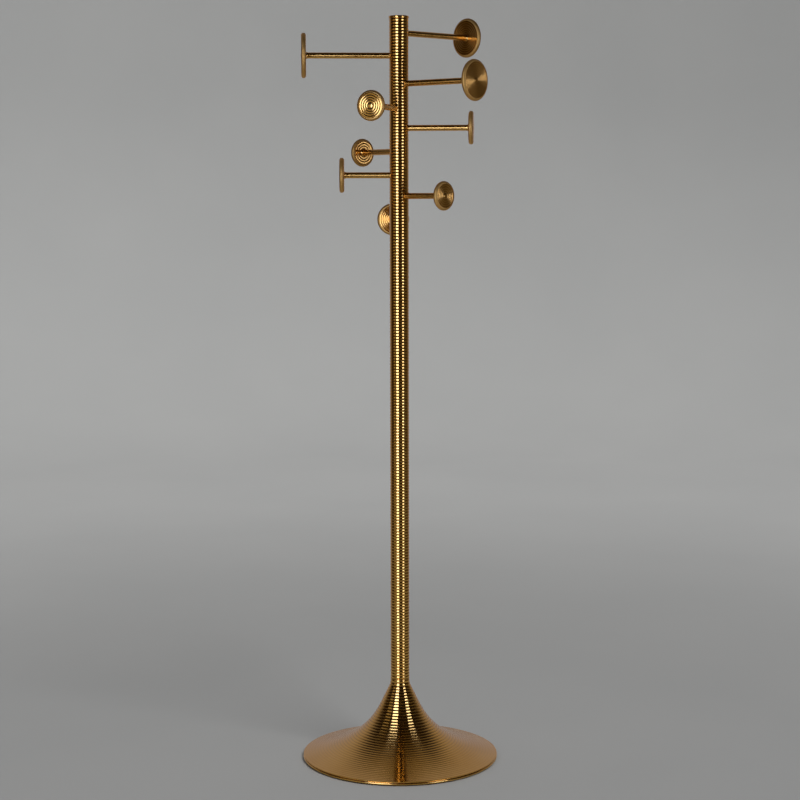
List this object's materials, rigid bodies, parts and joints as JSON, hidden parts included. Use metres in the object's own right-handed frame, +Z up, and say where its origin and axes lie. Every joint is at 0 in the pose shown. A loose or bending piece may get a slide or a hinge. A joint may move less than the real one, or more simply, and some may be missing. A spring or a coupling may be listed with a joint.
{
  "type": "coat stand",
  "caption": "Free-standing brass coat and hat stand: ribbed round post on a flared weighted foot, with straight arms at many bearings, each ending in a round disc.",
  "frame": {"origin": "on the floor, on the post's axis: the centre of the felt pad's underside", "axes": "+Z up along the post's axis; -Y is the side the stand is seen from, +X to the viewer's right"},
  "size_m": [0.465, 0.465, 1.7578],
  "materials": {
    "brass": "polished, lightly brushed round the axis",
    "steel": "zinc plated",
    "iron": "as cast",
    "felt": "pressed felt"
  },
  "bodies": {
    "root": {"floor_pad": "felt", "base_plate": "steel", "rim_ring": "brass", "ballast": "iron", "base_shell": "brass", "tie_rod": "steel", "washer_lower": "steel", "nut_lower": "steel", "base_spigot": "brass", "washer_upper": "steel", "nut_upper": "steel", "post_lower": "brass", "post_middle": "brass", "post_upper": "brass", "joiner_lower": "steel", "joiner_upper": "steel", "top_cap": "brass", "arm_1_socket": "steel", "arm_1_rod": "brass", "arm_1_disc": "brass", "arm_1_screw": "brass", "arm_2_socket": "steel", "arm_2_rod": "brass", "arm_2_disc": "brass", "arm_2_screw": "brass", "arm_3_socket": "steel", "arm_3_rod": "brass", "arm_3_disc": "brass", "arm_3_screw": "brass", "arm_4_socket": "steel", "arm_4_rod": "brass", "arm_4_disc": "brass", "arm_4_screw": "brass", "arm_5_socket": "steel", "arm_5_rod": "brass", "arm_5_disc": "brass", "arm_5_screw": "brass", "arm_6_socket": "steel", "arm_6_rod": "brass", "arm_6_disc": "brass", "arm_6_screw": "brass", "arm_7_socket": "steel", "arm_7_rod": "brass", "arm_7_disc": "brass", "arm_7_screw": "brass", "arm_8_socket": "steel", "arm_8_rod": "brass", "arm_8_disc": "brass", "arm_8_screw": "brass", "arm_9_socket": "steel", "arm_9_rod": "brass", "arm_9_disc": "brass", "arm_9_screw": "brass"}
  },
  "joints": []
}
